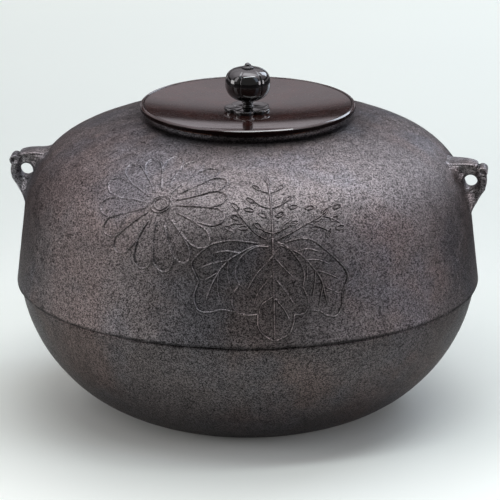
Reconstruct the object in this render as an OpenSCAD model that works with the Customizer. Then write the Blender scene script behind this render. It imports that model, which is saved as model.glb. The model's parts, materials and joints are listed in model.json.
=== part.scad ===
// Cast-iron tea kettle of the hearth type with a dished bronze lid.
// The kettle stands on z = 0 with its axis on Z, and its two lugs lie on the X axis.

/* [Kettle body] */
// Outer radius at the skirt's lower edge, the widest part of the body
skirt_r = 138; // [125:0.5:150]
// Height of the skirt's lower edge above the surface the kettle stands on
seam_z = 75.5; // [70:0.5:82]
// Lean of the straight wall towards the axis, in degrees
wall_lean = 6.5; // [3:0.5:9]
// Height at which the straight wall turns into the shoulder
wall_top_z = 122.5; // [116:0.5:130]
// Radius of the shoulder's arc
shoulder_arc_r = 50; // [44:1:56]
// Slope of the surface where the shoulder meets the dome, in degrees
dome_slope = 24.5; // [21:0.5:27]
// Radius of the dome's arc
dome_arc_r = 160; // [145:1:180]
// Thickness of the cast wall above the seam
wall_t = 4; // [3:0.25:5]

/* [Mouth] */
// Outer radius of the low neck
neck_r = 58.5; // [54:0.5:62]
// Height of the neck above the dome
neck_h = 4.5; // [3:0.25:6]
// Thickness of the neck's ring
neck_t = 4; // [3:0.25:5]

/* [Bottom bowl] */
// Radius of the flat that the kettle stands on
base_r = 76; // [66:1:84]
// Radius of the bowl's arc
bowl_arc_r = 95; // [88:1:110]
// Thickness of the bowl
bowl_t = 4.5; // [3.5:0.25:5.5]
// How far the skirt stands out over the bowl
skirt_overhang = 2.2; // [1.5:0.1:3]
// Thickness of the skirt at its lower edge
skirt_edge_t = 4.3; // [3.6:0.1:5]
// Height of the lap between skirt and bowl
lap_h = 14; // [9:0.5:18]
// Lacquer-filled gap of the lap joint, on the radius
lap_gap = 0.4; // [0.3:0.05:0.6]
// Thickness of the bowl's upstand inside the skirt
upstand_t = 1.8; // [1.4:0.1:2.2]
// Lacquer-filled gap over the bowl's upstand
lap_top_gap = 1; // [0.6:0.1:1.6]

/* [Lugs] */
// Height of the eye's axis above the straight wall
eye_rise = 16.5; // [11:0.5:20]
// Radius of the eye that takes a lifting ring
eye_r = 4; // [3.4:0.1:5]
// Metal between the eye and the body
eye_wall = 0.3; // [0.2:0.1:1.5]
// Thickness of the strap round the eye
strap_t = 5.5; // [4:0.25:6.5]
// Thickness of the lug along the eye
lug_t = 10; // [8:0.5:12]
// How far the lug's lower end lies below the eye's axis
foot_drop = 19.2; // [17:0.2:22]
// Height of the brow plate's top above the eye's axis
brow_rise = 12; // [10:0.5:14]
// Thickness of the brow plate
brow_t = 2; // [1.5:0.1:3]
// Thickness of the ridge under the brow plate
ridge_t = 1.4; // [1:0.1:2]
// How far the ridge lies inside the brow plate's edge
ridge_inset = 1; // [0.6:0.1:1.5]
// Half width of the brow plate at the body
brow_root_w = 10.5; // [9:0.5:13]
// Half width of the brow plate at its tip
brow_tip_w = 6; // [5.5:0.25:8]
// How far the brow plate reaches past the eye's axis
brow_reach = 4.3; // [3:0.1:6]
// Radius of the nose at the lug's tip
nose_r = 3.2; // [2.6:0.1:4]
// How far the nose stands out past the strap
nose_proud = 0.5; // [0.4:0.1:1.5]
// Height of the nose's middle above the eye's axis
nose_rise = 6.2; // [5.4:0.1:7]
// Radius of the nostrils on the nose's sides
nostril_r = 1.9; // [1.5:0.1:2.4]
// How far each nostril stands out from the lug's side
nostril_h = 0.8; // [0.4:0.1:1.4]
// Radius of the tenon that holds the lug in the wall
tenon_r = 4; // [3:0.25:5]
// How far the tenon's axis lies below the eye's axis
tenon_drop = 10.5; // [9.5:0.25:12]
// How far the tenon runs into the lug
tenon_grip = 1.5; // [1:0.1:2.5]

/* [Sounding plates] */
// Length of a plate along the radius
plate_l = 27; // [20:1:32]
// Width of a plate at its outer end
plate_w = 21; // [16:1:24]
// Width of a plate at its inner end
plate_in_w = 15; // [10:1:20]
// Thickness of a plate
plate_t = 1.6; // [1:0.1:2.5]
// Radius on which the plates' middles lie
plate_ring_r = 41; // [36:1:46]
// Height of the lacquer dabs under the plates
dab_h = 0.8; // [0.5:0.1:1.5]
// Radius of the lacquer dabs
dab_r = 5; // [3:0.5:7]
// How far the dabs stay inside the plates' outer ends
dab_inset = 1; // [0.5:0.5:4]

/* [Lid] */
// How far the lid stands out over the neck
lid_overhang = 5.2; // [3:0.2:7]
// Height of the lid's edge
lid_edge_t = 3.2; // [2.8:0.1:4]
// Radius of the rounded corner of the lid's lip
lip_r = 1; // [0.6:0.1:1.3]
// Width of the raised lip round the lid
lip_w = 2.6; // [2:0.1:4]
// Height of the lip above the dish's edge
lip_step = 0.45; // [0.2:0.05:0.8]
// Depth of the flat in the middle of the dished top below the lip
dish_depth = 4.8; // [3.5:0.1:6]
// Thickness of the lid's dished plate
lid_t = 2.4; // [1.8:0.1:3]
// Depth of the locating ring under the lid
ring_h = 7; // [5:0.5:10]
// Thickness of the locating ring
ring_t = 2; // [1.5:0.1:3]
// Clearance between the locating ring and the mouth, on the radius
ring_clear = 0.35; // [0.3:0.05:0.8]

/* [Knob] */
// Number of lobes of the knob
knob_lobes = 6; // [5:1:8]
// Radius of one lobe
lobe_r = 9.6; // [8.6:0.1:10.4]
// Distance of the lobes' centres from the axis
lobe_off = 3.85; // [3.4:0.05:4.3]
// Turn of the lobes about the axis, in degrees
lobe_turn = 9; // [-30:1:30]
// Height of the flat-ended core of the knob
knob_core_h = 19.4; // [18.6:0.1:21.4]
// Radius of the knob's core, which the neck and the crown seat on
knob_core_r = 3.6; // [3.2:0.1:4]
// Number of petals of the seat under the knob
seat_petals = 5; // [5:1:8]
// Radius of the seat over its petals
seat_r = 14.1; // [12:0.1:16]
// Radius of one petal's round end
petal_r = 7.2; // [6.5:0.1:8]
// Turn of the seat's petals about the axis, in degrees
seat_turn = -98; // [-180:1:180]
// Height of the seat above the dish's flat
seat_h = 2; // [1.5:0.1:3]
// Height of the neck between seat and knob
knob_neck_h = 4.5; // [4:0.25:7]
// Radius of the neck's waist
neck_waist_r = 2.8; // [2.4:0.1:3.1]
// Radius of the ring at the neck's foot
neck_foot_r = 3.4; // [3.2:0.1:4]
// Height of the ring at the neck's foot
neck_foot_h = 1.2; // [0.8:0.1:1.5]
// Height of the flare at the neck's head
neck_flare_h = 2.2; // [1.5:0.1:2.4]
// Height of the collar on the knob
collar_h = 0.6; // [0.5:0.1:1.2]
// Height of the cone on the collar
crown_h = 0.6; // [0.5:0.1:1.4]
// Radius of the cone's foot
crown_r = 2.9; // [2.6:0.1:3.2]
// Radius of the cone's top
crown_top_r = 2; // [1.9:0.05:2.5]
// Radius of the bead that heads the pin
bead_r = 1.4; // [1.4:0.1:1.8]
// Height of the bead's middle above the crown that it holds down
bead_rise = 0.4; // [0.3:0.05:0.5]
// Radius of the pin
pin_r = 1.2; // [0.9:0.05:1.2]
// Running clearance round the pin, on the radius
pin_clear = 0.06; // [0.04:0.01:0.09]
// End play of the knob on its pin
pin_play = 0.15; // [0.1:0.05:0.3]
// Radius of the washer under the lid
washer_r = 6.5; // [5:0.25:8]
// Thickness of the washer under the lid
washer_t = 1.2; // [0.8:0.1:2]
// Length of each bent leg of the split pin, from the axis
leg_l = 5.2; // [4:0.2:6]
// Thickness of each bent leg
leg_t = 1.2; // [0.8:0.1:1.5]
// Width of each bent leg
leg_w = 2.4; // [1.6:0.1:2.8]

/* [Hidden] */
$fn = 96;
// Number of sides that wide, shallow arcs are drawn with
fine_fn = 720;
PLATES = 5;

iron = "#4a4341";
bronze = "#3b2622";
dark_bronze = "#1f1816";
lacquer = "#2a1d18";

// Directions that lie on the body's outline
function slope_normal(slope) = [sin(slope), cos(slope)];
wall_normal = slope_normal(90 - wall_lean);
dome_normal = slope_normal(dome_slope);

// Points where the straight wall, the shoulder's arc and the dome's arc meet
wall_foot = [skirt_r, seam_z];
function wall_x(z) = skirt_r - (z - seam_z) * tan(wall_lean);
wall_head = [wall_x(wall_top_z), wall_top_z];
shoulder_c = wall_head - shoulder_arc_r * wall_normal;
dome_foot = shoulder_c + shoulder_arc_r * dome_normal;
dome_c = dome_foot - dome_arc_r * dome_normal;

// Height of a dome of radius r about the dome's centre, at distance x from the axis
function dome_z(x, r) = dome_c[1] + sqrt(r * r - (x - dome_c[0]) * (x - dome_c[0]));
neck_z = dome_z(neck_r, dome_arc_r);
mouth_z = neck_z + neck_h;
mouth_r = neck_r - neck_t;

// The bowl's arc runs from the edge of the base to the underside of the skirt
bowl_rim = [skirt_r - skirt_overhang, seam_z];
base_edge = [base_r, 0];
bowl_chord = bowl_rim - base_edge;
bowl_inward = [-bowl_chord[1], bowl_chord[0]] / norm(bowl_chord);
bowl_c = (bowl_rim + base_edge) / 2
  + bowl_inward * sqrt(bowl_arc_r * bowl_arc_r - bowl_chord * bowl_chord / 4);
bowl_in_r = bowl_arc_r - bowl_t;
lap_r = skirt_r - skirt_edge_t;
lap_z = seam_z + lap_h;
spigot_r = lap_r - lap_gap;
spigot_z = lap_z - lap_top_gap;
spigot_in_r = spigot_r - upstand_t;

// The eye stands off the shoulder by its own radius and the metal left between
eye_z = wall_top_z + eye_rise;
eye_off = shoulder_arc_r + eye_wall + eye_r;
eye_x = shoulder_c[0] + sqrt(eye_off * eye_off - (eye_z - shoulder_c[1]) * (eye_z - shoulder_c[1]));
strap_r = eye_r + strap_t;
lug_foot_z = eye_z - foot_drop;
brow_z = eye_z + brow_rise;
foot_x = wall_x(lug_foot_z);
// How far the lug's blank runs into the body before the body's shape is cut from it
root_depth = 2 * wall_t + strap_t;
lug_root_x = eye_x - root_depth - strap_r;
// Angle below the horizontal at which the lug's tail leaves the strap
tail_angle = 28;
nose_x = eye_x + strap_r + nose_proud - nose_r;
nose_z = eye_z + nose_rise;
tenon_z = eye_z - tenon_drop;

plate_z = bowl_t + dab_h;

// The lid lies on the neck
lid_r = neck_r + lid_overhang;
lid_z = mouth_z + lid_edge_t;
dish_rim_r = lid_r - lip_w;
dish_rim_z = lid_z - lip_step;
dish_z = lid_z - dish_depth;
// The dish's arc runs from the flat under the seat to the lip, about a centre on the axis
dish_c = [0, ((dish_rim_r * dish_rim_r - seat_r * seat_r) / (dish_rim_z - dish_z) + dish_z + dish_rim_z) / 2];
dish_r = norm([seat_r, dish_c[1] - dish_z]);
ring_r = mouth_r - ring_clear;
ring_in_r = ring_r - ring_t;
pin_hole_r = pin_r + pin_clear;
lid_under_z = dish_z - lid_t;
washer_z = lid_under_z - washer_t;
seat_z = dish_z + seat_h;
knob_neck_z = seat_z + pin_play;
knob_z = knob_neck_z + knob_neck_h;
crown_z = knob_z + knob_core_h;
crown_top_z = crown_z + collar_h + crown_h;
legs_z = washer_z - pin_play;
// Extra length that carries a cut clear through a face
through = 1;

// Part of a disc beyond the chord from p to q, with the disc's bulge to the right of that way
module arc_cap(c, r, p, q) {
  chord = q - p;
  out = [chord[1], -chord[0]] / norm(chord);
  reach = out * norm(chord);
  intersection() {
    translate(c) circle(r = r);
    polygon([p, p + reach, q + reach, q]);
  }
}

// Half outline of the body above the seam, drawn in from its outer face by inset, up to radius top_x
module body_fill(inset, top_x) {
  foot = wall_foot - [inset / cos(wall_lean), 0];
  head = wall_head - inset * wall_normal;
  turn = dome_foot - inset * dome_normal;
  top = [top_x, dome_z(top_x, dome_arc_r - inset)];
  union() {
    polygon([[0, seam_z], foot, head, turn, top, [0, top[1]]]);
    arc_cap(shoulder_c, shoulder_arc_r - inset, head, turn);
    arc_cap(dome_c, dome_arc_r - inset, turn, top);
  }
}

// Rectangle in the half plane, from radius x0 to x1 and height z0 to z1
module band(x0, x1, z0, z1) {
  translate([x0, z0]) square([x1 - x0, z1 - z0]);
}

module body_outside() {
  rotate_extrude() body_fill(0, neck_r);
}

module body_inside() {
  rotate_extrude() body_fill(wall_t, mouth_r);
}

// Round bar along X at height z, from x0 to x1
module bar_x(r, x0, x1, z) {
  translate([x0, 0, z]) rotate([0, 90, 0]) cylinder(r = r, h = x1 - x0);
}

module upper_body() {
  color(iron) difference() {
    rotate_extrude() difference() {
      union() {
        body_fill(0, neck_r);
        band(0, neck_r, seam_z, mouth_z);
      }
      body_fill(wall_t, mouth_r);
      band(0, mouth_r, seam_z - through, mouth_z + through);
      band(0, lap_r, seam_z - through, lap_z);
    }
    for (side = [0, 180])
      rotate([0, 0, side]) bar_x(tenon_r, 0, skirt_r + through, tenon_z);
  }
}

// Half outline of the bowl between height z and the seam, out to an arc of radius r about the bowl's centre
module bowl_fill(r, z) {
  union() {
    band(0, bowl_c[0], z, seam_z);
    intersection() {
      translate(bowl_c) circle(r = r, $fn = fine_fn);
      band(0, skirt_r, z, seam_z);
    }
  }
}

module bottom_bowl() {
  color(iron) rotate_extrude() difference() {
    union() {
      bowl_fill(bowl_arc_r, 0);
      band(0, spigot_r, seam_z, spigot_z);
    }
    bowl_fill(bowl_in_r, bowl_t);
    band(0, spigot_in_r, seam_z, spigot_z + through);
  }
}

// Lacquer and iron putty that fills the lap and seals the upstand's top
module seam_lacquer() {
  color(lacquer) rotate_extrude() union() {
    band(spigot_r, lap_r, seam_z, lap_z);
    band(spigot_in_r, lap_r, spigot_z, lap_z);
  }
}

// Side view of the lug: a strap round the eye, its tail down the wall and a web under the brow
module lug_side() {
  tail = [eye_x + strap_r * cos(tail_angle), eye_z - strap_r * sin(tail_angle)];
  union() {
    translate([eye_x, eye_z]) circle(r = strap_r);
    polygon([
      tail, [foot_x, lug_foot_z], [foot_x - root_depth, lug_foot_z],
      [lug_root_x, brow_z - brow_t / 2], [eye_x, brow_z - brow_t / 2], [eye_x, eye_z]
    ]);
    translate([nose_x, nose_z]) circle(r = nose_r);
  }
}

// Plan of the brow plate, wide at the body and narrow at the nose, drawn in by inset
module brow_plan(inset) {
  root_w = brow_root_w - inset;
  tip_w = brow_tip_w - inset;
  tip_x = eye_x + brow_reach - inset;
  polygon([[lug_root_x, -root_w], [tip_x, -tip_w], [tip_x, tip_w], [lug_root_x, root_w]]);
}

module lug_blank() {
  rotate([90, 0, 0]) linear_extrude(lug_t, center = true) lug_side();
  translate([0, 0, brow_z - brow_t]) linear_extrude(brow_t) brow_plan(0);
  translate([0, 0, brow_z - brow_t - ridge_t]) linear_extrude(ridge_t + brow_t / 2) brow_plan(ridge_inset);
  translate([nose_x, 0, nose_z]) rotate([90, 0, 0])
    cylinder(r = nostril_r, h = lug_t + 2 * nostril_h, center = true);
}

module lug() {
  color(iron) union() {
    difference() {
      lug_blank();
      body_outside();
      translate([eye_x, 0, eye_z]) rotate([90, 0, 0])
        cylinder(r = eye_r, h = 2 * (lug_t + brow_root_w), center = true);
    }
    difference() {
      bar_x(tenon_r, shoulder_c[0], wall_x(tenon_z) + tenon_grip, tenon_z);
      body_inside();
    }
  }
}

module lug_right() {
  lug();
}

module lug_left() {
  rotate([0, 0, 180]) lug();
}

// Iron flake under the water that makes the kettle sing, narrower towards the middle
module sounding_plate(i) {
  color(iron) rotate([0, 0, 360 * i / PLATES]) translate([plate_ring_r, 0, plate_z])
    linear_extrude(plate_t) polygon([
      [-plate_l / 2, -plate_in_w / 2], [plate_l / 2, -plate_w / 2],
      [plate_l / 2, plate_w / 2], [-plate_l / 2, plate_in_w / 2]
    ]);
}

module plate_lacquer() {
  dab_x = plate_ring_r + plate_l / 2 - dab_r - dab_inset;
  color(lacquer) for (i = [0 : PLATES - 1])
    rotate([0, 0, 360 * i / PLATES]) translate([dab_x, 0, bowl_t]) cylinder(r = dab_r, h = dab_h);
}

// Half outline of a shallow dish with a flat floor at height z, out to radius x and up to height top
module dish_outline(r, z, x, top) {
  intersection() {
    translate(dish_c) circle(r = r, $fn = fine_fn);
    band(0, x, z, top);
  }
}

// Half outline of the dished plate inside the lip: flat where it lies on the neck, dished inside the ring
module dished_plate() {
  difference() {
    union() {
      band(0, dish_rim_r, mouth_z, dish_rim_z);
      dish_outline(dish_r + lid_t, lid_under_z, ring_in_r, mouth_z);
    }
    dish_outline(dish_r, dish_z, dish_rim_r, lid_z);
  }
}

module lid_plate() {
  color(bronze) difference() {
    rotate_extrude() union() {
      dished_plate();
      band(dish_rim_r, lid_r - lip_r, mouth_z, lid_z);
      band(lid_r - lip_r, lid_r, mouth_z, lid_z - lip_r);
      translate([lid_r - lip_r, lid_z - lip_r]) intersection() {
        circle(r = lip_r);
        square(lip_r);
      }
    }
    translate([0, 0, lid_under_z - through]) cylinder(r = pin_hole_r, h = lid_t + 2 * through);
  }
}

module lid_ring() {
  color(bronze) rotate_extrude() band(ring_in_r, ring_r, mouth_z - ring_h, mouth_z);
}

// Plum-blossom seat between the lid and the knob's neck
module knob_seat() {
  color(dark_bronze) difference() {
    translate([0, 0, dish_z]) linear_extrude(seat_h) union() {
      for (i = [0 : seat_petals - 1])
        rotate(360 * i / seat_petals + seat_turn) translate([seat_r - petal_r, 0]) circle(r = petal_r);
      circle(r = seat_r - petal_r);
    }
    translate([0, 0, dish_z - through]) cylinder(r = pin_hole_r, h = seat_h + 2 * through);
  }
}

module back_washer() {
  color(bronze) translate([0, 0, washer_z]) difference() {
    cylinder(r = washer_r, h = washer_t);
    translate([0, 0, -through]) cylinder(r = pin_hole_r, h = washer_t + 2 * through);
  }
}

// Waisted spool that carries the knob over its seat
module knob_neck() {
  color(dark_bronze) translate([0, 0, knob_neck_z]) difference() {
    union() {
      cylinder(r = neck_foot_r, h = neck_foot_h);
      cylinder(r = neck_waist_r, h = knob_neck_h);
      translate([0, 0, knob_neck_h - neck_flare_h])
        cylinder(r1 = neck_waist_r, r2 = knob_core_r, h = neck_flare_h);
    }
    translate([0, 0, -through]) cylinder(r = pin_hole_r, h = knob_neck_h + 2 * through);
  }
}

// Lobed knob in the form of a gardenia fruit, on a core with flat ends
module knob_body() {
  color(dark_bronze) translate([0, 0, knob_z]) difference() {
    union() {
      cylinder(r = knob_core_r, h = knob_core_h);
      for (i = [0 : knob_lobes - 1])
        rotate([0, 0, lobe_turn - 90 + 360 * i / knob_lobes])
          translate([lobe_off, 0, knob_core_h / 2]) sphere(r = lobe_r);
    }
    translate([0, 0, -through]) cylinder(r = pin_hole_r, h = knob_core_h + 2 * through);
  }
}

module knob_crown() {
  color(dark_bronze) translate([0, 0, crown_z]) difference() {
    union() {
      cylinder(r = knob_core_r, h = collar_h);
      translate([0, 0, collar_h]) cylinder(r1 = crown_r, r2 = crown_top_r, h = crown_h);
    }
    translate([0, 0, -through]) cylinder(r = pin_hole_r, h = collar_h + crown_h + 2 * through);
  }
}

// Bead that heads the pin, cut flat where it bears on the crown
module pin_bead() {
  intersection() {
    translate([0, 0, crown_top_z + bead_rise]) sphere(r = bead_r);
    translate([0, 0, crown_top_z]) cylinder(r = 2 * bead_r, h = 2 * bead_r);
  }
}

// Split pin with a bead for a head and two legs bent out under the washer
module knob_pin() {
  color(dark_bronze) union() {
    translate([0, 0, legs_z - leg_t]) cylinder(r = pin_r, h = crown_top_z - legs_z + leg_t);
    pin_bead();
    translate([-leg_l, -leg_w / 2, legs_z - leg_t]) cube([2 * leg_l, leg_w, leg_t]);
  }
}

upper_body();
bottom_bowl();
seam_lacquer();
lug_left();
lug_right();
sounding_plate(0);  // sounding_plate_1
sounding_plate(1);  // sounding_plate_2
sounding_plate(2);  // sounding_plate_3
sounding_plate(3);  // sounding_plate_4
sounding_plate(4);  // sounding_plate_5
plate_lacquer();
lid_plate();
lid_ring();
knob_seat();
back_washer();
knob_neck();
knob_body();
knob_crown();
knob_pin();
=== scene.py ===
"""Looks of a cast-iron tea kettle with a dished bronze lid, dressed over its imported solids.

Shapes are worked out in millimetres, and make_piece() turns them into metres.
"""
import json
import math

import bpy
import numpy as np
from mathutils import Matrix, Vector


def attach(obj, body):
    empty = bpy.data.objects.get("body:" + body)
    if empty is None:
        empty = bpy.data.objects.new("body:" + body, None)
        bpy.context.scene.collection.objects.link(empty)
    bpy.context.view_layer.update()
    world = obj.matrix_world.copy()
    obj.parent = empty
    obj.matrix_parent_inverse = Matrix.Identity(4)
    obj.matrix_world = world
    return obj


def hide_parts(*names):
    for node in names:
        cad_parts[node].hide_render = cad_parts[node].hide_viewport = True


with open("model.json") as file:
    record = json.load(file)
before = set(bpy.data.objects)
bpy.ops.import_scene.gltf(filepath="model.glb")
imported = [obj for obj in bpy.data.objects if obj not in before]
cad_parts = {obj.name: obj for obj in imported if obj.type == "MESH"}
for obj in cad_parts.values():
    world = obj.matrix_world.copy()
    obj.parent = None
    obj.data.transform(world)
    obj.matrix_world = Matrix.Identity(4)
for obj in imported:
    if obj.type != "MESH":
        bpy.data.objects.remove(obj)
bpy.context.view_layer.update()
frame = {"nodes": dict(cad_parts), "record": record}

MM = 0.001

# Body above the seam
SKIRT_R = 138.0
SEAM_Z = 75.5
WALL_LEAN = 6.5
WALL_TOP_Z = 122.5
SHOULDER_R = 50.0
DOME_SLOPE = 24.5
DOME_R = 160.0
WALL_T = 4.0
SKIRT_EDGE_R = 0.6
SKIRT_EDGE_T = 4.3
LAP_H = 14.0
LAP_R = SKIRT_R - SKIRT_EDGE_T
LAP_Z = SEAM_Z + LAP_H

# Mouth
NECK_R = 58.5
NECK_H = 4.5
NECK_T = 4.0
NECK_FILLET_R = 2.5
MOUTH_EDGE_R = 1.0

# Bottom bowl
BASE_R = 76.0
BASE_EDGE_R = 3.0
BOWL_R = 95.0
BOWL_T = 4.5
SKIRT_OVERHANG = 2.2
BOWL_RIM_R = SKIRT_R - SKIRT_OVERHANG
BOWL_RIM_EDGE_R = 2.0
LAP_GAP = 0.4
LAP_TOP_GAP = 1.0
UPSTAND_T = 1.8
SPIGOT_R = LAP_R - LAP_GAP
SPIGOT_IN_R = SPIGOT_R - UPSTAND_T
SPIGOT_Z = LAP_Z - LAP_TOP_GAP

# Lugs
EYE_RISE = 16.5
EYE_R = 4.0
EYE_WALL = 0.3
STRAP_T = 5.5
STRAP_R = EYE_R + STRAP_T
STRAP_HALF = 5.0
FOOT_DROP = 19.2
BROW_RISE = 12.0
BROW_HALF_T = 1.0
BROW_ROOT_W = 10.5
BROW_TIP_W = 6.0
BROW_REACH = 4.3
NOSE_R = 3.2
NOSE_HALF = 5.8
NOSE_RISE = 6.2
NOSE_PROUD = 0.5

# Lid
LID_R = 63.7
LID_EDGE_T = 3.2
LIP_W = 2.6
LIP_STEP = 0.45
DISH_DEPTH = 4.8
LID_T = 2.4
LID_RING_IN_R = 52.15
PIN_HOLE_R = 1.26

# Knob
SEAT_R = 14.1
SEAT_PETALS = 5
PETAL_R = 7.2
SEAT_TURN = -98.0
SEAT_H = 2.0
PIN_PLAY = 0.15
KNOB_NECK_H = 4.5
KNOB_NECK_FOOT_R = 3.4
KNOB_NECK_WAIST_R = 2.8
KNOB_CORE_R = 3.6
KNOB_H = 19.4
KNOB_LOBES = 6
LOBE_R = 9.6
LOBE_OFF = 3.85
LOBE_TURN = 14.0
LOBE_SWELL = 0.02
KNOB_TOP_SQUARE = 3.0
KNOB_FOOT_SQUARE = 2.25
KNOB_SAG = 0.7
GROOVE_DEPTH = 0.5
GROOVE_HALF_W = 0.34
COLLAR_H = 0.6
CROWN_H = 0.6
CROWN_R = 2.9
CROWN_TOP_R = 2.0
BEAD_R = 1.85
BEAD_RISE = 0.3
BEAD_HALF_H = 1.55

# Camera, in metres and degrees
VIEW_TURN = 5.6
VIEW_RISE = 17.16
VIEW_DISTANCE = 2.282
VIEW_TARGET = Vector((0.0, 0.0, 0.090))
VIEW_AIM_RIGHT = 0.0013
VIEW_AIM_UP = 0.0017
VIEW_LENS = 274.4
VIEW_SENSOR = 36.0
VIEW_CLIP_END = 50.0


def srgb(red, green, blue):
    """A colour given as it looks on screen, 0 to 255, as the linear colour that shaders take."""
    shares = [c / 255 for c in (red, green, blue)]
    linear = [s / 12.92 if s <= 0.04045 else ((s + 0.055) / 1.055) ** 2.4 for s in shares]
    return (*linear, 1.0)


# Outlines in the half plane

def direction(degrees):
    """Unit vector at an angle above the outward radius."""
    return np.array([math.cos(math.radians(degrees)), math.sin(math.radians(degrees))])


def bearing(across, up):
    """Angle above the outward radius, in degrees."""
    return math.degrees(math.atan2(up, across))


def arc(centre, radius, start, end, step):
    """Points along an arc from one angle to another, in degrees, about step apart."""
    count = max(2, int(math.ceil(abs(math.radians(end - start)) * radius / step)) + 1)
    return [np.array(centre) + radius * direction(a) for a in np.linspace(start, end, count)]


def line(start, end, step):
    """Points along a straight line, about step apart."""
    start, end = np.array(start, float), np.array(end, float)
    count = max(2, int(math.ceil(np.linalg.norm(end - start) / step)) + 1)
    return [start + (end - start) * t for t in np.linspace(0, 1, count)]


def joined(*stretches):
    """One outline from several stretches, with doubled points left out."""
    points = [np.array(p, float) for stretch in stretches for p in stretch]
    kept = [points[0]]
    for p in points[1:]:
        if np.linalg.norm(p - kept[-1]) > 1e-6:
            kept.append(p)
    return np.array(kept)


def wall_x(z):
    """Radius of the body's straight wall at a height."""
    return SKIRT_R - (z - SEAM_Z) * math.tan(math.radians(WALL_LEAN))


WALL_HEAD = np.array([wall_x(WALL_TOP_Z), WALL_TOP_Z])
SHOULDER_C = WALL_HEAD - SHOULDER_R * direction(WALL_LEAN)
DOME_TURN = 90 - DOME_SLOPE
DOME_C = SHOULDER_C + (SHOULDER_R - DOME_R) * direction(DOME_TURN)


def dome_angle(radius, arc_r):
    """Angle on a dome arc of radius arc_r at a distance from the axis."""
    return math.degrees(math.acos((radius - DOME_C[0]) / arc_r))


NECK_Z = DOME_C[1] + DOME_R * math.sin(math.radians(dome_angle(NECK_R, DOME_R)))
MOUTH_Z = NECK_Z + NECK_H
MOUTH_R = NECK_R - NECK_T

BOWL_CHORD = np.array([BOWL_RIM_R - BASE_R, SEAM_Z])
BOWL_INWARD = np.array([-BOWL_CHORD[1], BOWL_CHORD[0]]) / np.linalg.norm(BOWL_CHORD)
BOWL_C = (np.array([BASE_R, 0.0]) + BOWL_CHORD / 2
          + BOWL_INWARD * math.sqrt(BOWL_R ** 2 - BOWL_CHORD @ BOWL_CHORD / 4))

LID_Z = MOUTH_Z + LID_EDGE_T
DISH_RIM_R = LID_R - LIP_W
DISH_RIM_Z = LID_Z - LIP_STEP
DISH_Z = LID_Z - DISH_DEPTH
LID_UNDER_Z = DISH_Z - LID_T
DISH_C_Z = ((DISH_RIM_R ** 2 - SEAT_R ** 2) / (DISH_RIM_Z - DISH_Z) + DISH_Z + DISH_RIM_Z) / 2
DISH_R = math.hypot(SEAT_R, DISH_C_Z - DISH_Z)
SEAT_Z = DISH_Z + SEAT_H
KNOB_NECK_Z = SEAT_Z + PIN_PLAY
KNOB_Z = KNOB_NECK_Z + KNOB_NECK_H
CROWN_Z = KNOB_Z + KNOB_H

EYE_Z = WALL_TOP_Z + EYE_RISE
EYE_OFF = SHOULDER_R + EYE_WALL + EYE_R
EYE_X = SHOULDER_C[0] + math.sqrt(EYE_OFF ** 2 - (EYE_Z - SHOULDER_C[1]) ** 2)
FOOT_Z = EYE_Z - FOOT_DROP
BROW_Z = EYE_Z + BROW_RISE
NOSE_X = EYE_X + STRAP_R + NOSE_PROUD - NOSE_R
NOSE_Z = EYE_Z + NOSE_RISE


# Noise and meshes

class Noise:
    """Smooth noise between -1 and 1 that is the same in each run."""

    SIZE = 32

    def __init__(self, seed):
        self.lattice = np.random.default_rng(seed).uniform(-1, 1, (self.SIZE,) * 3)

    def __call__(self, points, grain):
        """Noise at points whose bumps are about grain wide."""
        place = np.asarray(points) / grain
        cell = np.floor(place).astype(int)
        share = place - cell
        share = share * share * (3 - 2 * share)
        total = 0
        for corner in np.ndindex(2, 2, 2):
            at = (cell + corner) % self.SIZE
            weight = np.prod(np.where(corner, share, 1 - share), axis=-1)
            total = total + weight * self.lattice[at[..., 0], at[..., 1], at[..., 2]]
        return total


def waves(noise, points, layers):
    """Sum of noise in layers: the height and width of each, and where in the noise it is taken."""
    return sum(height * noise(points + shift, width) for height, width, shift in layers)


def make_piece(name, verts, faces, body, slot, nodes=(), sharp=None, marks=None):
    """A mesh object made from points in millimetres, which rides on a body and stands for its nodes.

    Marks are values for each point that the material reads, such as how dirty a hollow is.
    """
    mesh = bpy.data.meshes.new(name)
    mesh.from_pydata((np.asarray(verts) * MM).tolist(), [], [list(map(int, f)) for f in faces])
    mesh.validate()
    mesh.shade_smooth()
    if sharp is not None:
        mesh.set_sharp_from_angle(angle=math.radians(sharp))
    for label, values in (marks or {}).items():
        layer = mesh.attributes.new(label, "FLOAT", "POINT")
        layer.data.foreach_set("value", np.asarray(values, np.float32).ravel())
    piece = bpy.data.objects.new(name, mesh)
    bpy.context.collection.objects.link(piece)
    mesh.materials.append(FINISHES[slot])
    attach(piece, body)
    if nodes:
        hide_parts(*nodes)


def outline_normals(outline):
    """Unit normals of an outline that runs with its solid on the left."""
    along = np.gradient(outline, axis=0)
    normal = np.column_stack([along[:, 1], -along[:, 0]])
    return normal / np.linalg.norm(normal, axis=1)[:, None]


def around(segments):
    """Angles of equal steps round the axis, in radians."""
    return np.arange(segments) * 2 * math.pi / segments


def turn(outline, segments):
    """Points of an outline turned round the axis, as an array of rows by segments by 3."""
    angle = around(segments)
    r, z = outline[:, 0][:, None], outline[:, 1][:, None]
    return np.stack([r * np.cos(angle), r * np.sin(angle), z + 0 * angle], axis=-1)


def grid_faces(rows, segments, closed):
    """Quads over rows of points round the axis; closed also joins the last row to the first."""
    row = np.arange(rows if closed else rows - 1)[:, None]
    col = np.arange(segments)[None, :]
    nxt, side = (row + 1) % rows, (col + 1) % segments
    quads = np.stack([row * segments + col, row * segments + side,
                      nxt * segments + side, nxt * segments + col], axis=-1)
    return quads.reshape(-1, 4)


def ring_mesh(points):
    """Mesh over a closed outline turned round the axis."""
    rows, segments, _ = points.shape
    return points.reshape(-1, 3), grid_faces(rows, segments, True)


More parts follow.
